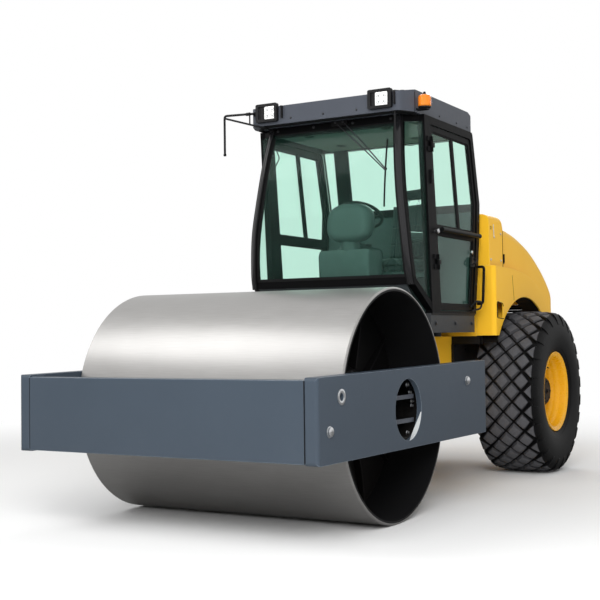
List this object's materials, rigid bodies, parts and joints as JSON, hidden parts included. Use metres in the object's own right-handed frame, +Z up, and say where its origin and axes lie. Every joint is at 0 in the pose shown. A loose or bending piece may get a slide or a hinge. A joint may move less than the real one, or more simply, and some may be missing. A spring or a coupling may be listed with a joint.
{
  "type": "road roller",
  "caption": "Articulated single-drum road roller: smooth drum in a box frame, glazed cab, tilting engine hood and two diamond-tread tyres.",
  "frame": {"origin": "on the ground, centre plane, midway along the machine", "axes": "+Z up, the drum end faces -Y, the machine's left side is +X"},
  "size_m": [2.375, 5.66, 3.2198],
  "materials": {
    "frame_paint": "satin",
    "drum_steel": "brushed",
    "black_paint": "satin",
    "yellow_paint": "gloss",
    "cab_paint": "satin",
    "roof_paint": "satin",
    "tinted_glass": "gloss",
    "black_plastic": "matte",
    "seat_cloth": "woven",
    "tyre_rubber": "matte",
    "bright_steel": "polished",
    "cast_iron": "rough",
    "amber": "gloss"
  },
  "bodies": {
    "rear_frame": {"frame_pins": "bright_steel", "chassis": "yellow_paint", "rear_axle": "black_paint", "engine_block": "cast_iron", "cab_frame": "cab_paint", "cab_base": "cab_paint", "cab_panels": "black_plastic", "windscreen": "tinted_glass", "cab_windows": "tinted_glass", "side_window_frame": "cab_paint", "grab_handle": "black_paint", "steering_column": "black_plastic", "steering_wheel": "black_plastic", "seat_base": "black_plastic", "seat_cushion": "seat_cloth", "seat_back": "seat_cloth", "fender_left": "yellow_paint", "fender_right": "yellow_paint", "rear_bulkhead": "yellow_paint", "mirror_arm": "black_paint", "roof": "roof_paint", "roof_lamps": "black_plastic", "roof_fittings": "black_paint", "beacon_lens": "amber"},
    "front_frame": {"front_crossbeam": "frame_paint", "side_plate_left": "frame_paint", "side_plate_right": "frame_paint", "rear_crossbeam": "frame_paint", "drum_supports": "black_paint", "drum_scrapers": "black_paint"},
    "drum": {"drum_shell": "drum_steel", "drum_bulkheads": "black_paint"},
    "hitch": {"hitch_yoke": "black_paint"},
    "barrel_left": {"steering_barrel_left": "black_paint"},
    "barrel_right": {"steering_barrel_right": "black_paint"},
    "rod_left": {"steering_rod_left": "bright_steel"},
    "rod_right": {"steering_rod_right": "bright_steel"},
    "wheel_left": {"tyre_left": "tyre_rubber", "rim_left": "yellow_paint", "wheel_hub_left": "black_paint"},
    "wheel_right": {"tyre_right": "tyre_rubber", "rim_right": "yellow_paint", "wheel_hub_right": "black_paint"},
    "door": {"cab_door": "cab_paint", "door_glass": "tinted_glass", "door_fittings": "black_paint"},
    "hood": {"hood": "yellow_paint", "hood_grille": "black_plastic"}
  },
  "joints": [
    {"name": "steering", "type": "hinge", "parent": "rear_frame", "child": "hitch", "pos_m": [0, 0.094, 0.775], "axis": [0, 0, 1], "range_deg": [-35, 35]},
    {"name": "oscillation", "type": "hinge", "parent": "hitch", "child": "front_frame", "pos_m": [0, -0.3, 0.775], "axis": [0, 1, 0], "range_deg": [-8, 8]},
    {"name": "drum_spin", "type": "hinge", "parent": "front_frame", "child": "drum", "pos_m": [0, -1.556, 0.8], "axis": [1, 0, 0], "continuous": true},
    {"name": "wheel_left_spin", "type": "hinge", "parent": "rear_frame", "child": "wheel_left", "pos_m": [0.89, 1.65, 0.735], "axis": [1, 0, 0], "continuous": true},
    {"name": "wheel_right_spin", "type": "hinge", "parent": "rear_frame", "child": "wheel_right", "pos_m": [-0.89, 1.65, 0.735], "axis": [1, 0, 0], "continuous": true},
    {"name": "door_swing", "type": "hinge", "parent": "rear_frame", "child": "door", "pos_m": [0.773, -0.16742, 2], "axis": [0, 0.1039, -0.9946], "range_deg": [0, 80]},
    {"name": "hood_tilt", "type": "hinge", "parent": "rear_frame", "child": "hood", "pos_m": [0, 2.74, 1.218], "axis": [-1, 0, 0], "range_deg": [0, 50]},
    {"name": "barrel_left_swing", "type": "hinge", "parent": "rear_frame", "child": "barrel_left", "pos_m": [0.262, 0.654, 0.72], "axis": [0, 0, 1], "range_deg": [-3, 3]},
    {"name": "rod_left_slide", "type": "slide", "parent": "barrel_left", "child": "rod_left", "axis": [-0.1154, -0.9933, 0], "range_m": [-0.12, 0.12]},
    {"name": "barrel_right_swing", "type": "hinge", "parent": "rear_frame", "child": "barrel_right", "pos_m": [-0.262, 0.654, 0.72], "axis": [0, 0, 1], "range_deg": [-3, 3]},
    {"name": "rod_right_slide", "type": "slide", "parent": "barrel_right", "child": "rod_right", "axis": [0.1154, -0.9933, 0], "range_m": [-0.12, 0.12]}
  ],
  "couplings": [
    {"joint": "barrel_left_swing", "follows": "steering", "ratio": 0.058},
    {"joint": "rod_left_slide", "follows": "steering", "m_per_rad": -0.187},
    {"joint": "barrel_right_swing", "follows": "steering", "ratio": 0.058},
    {"joint": "rod_right_slide", "follows": "steering", "m_per_rad": 0.187}
  ]
}
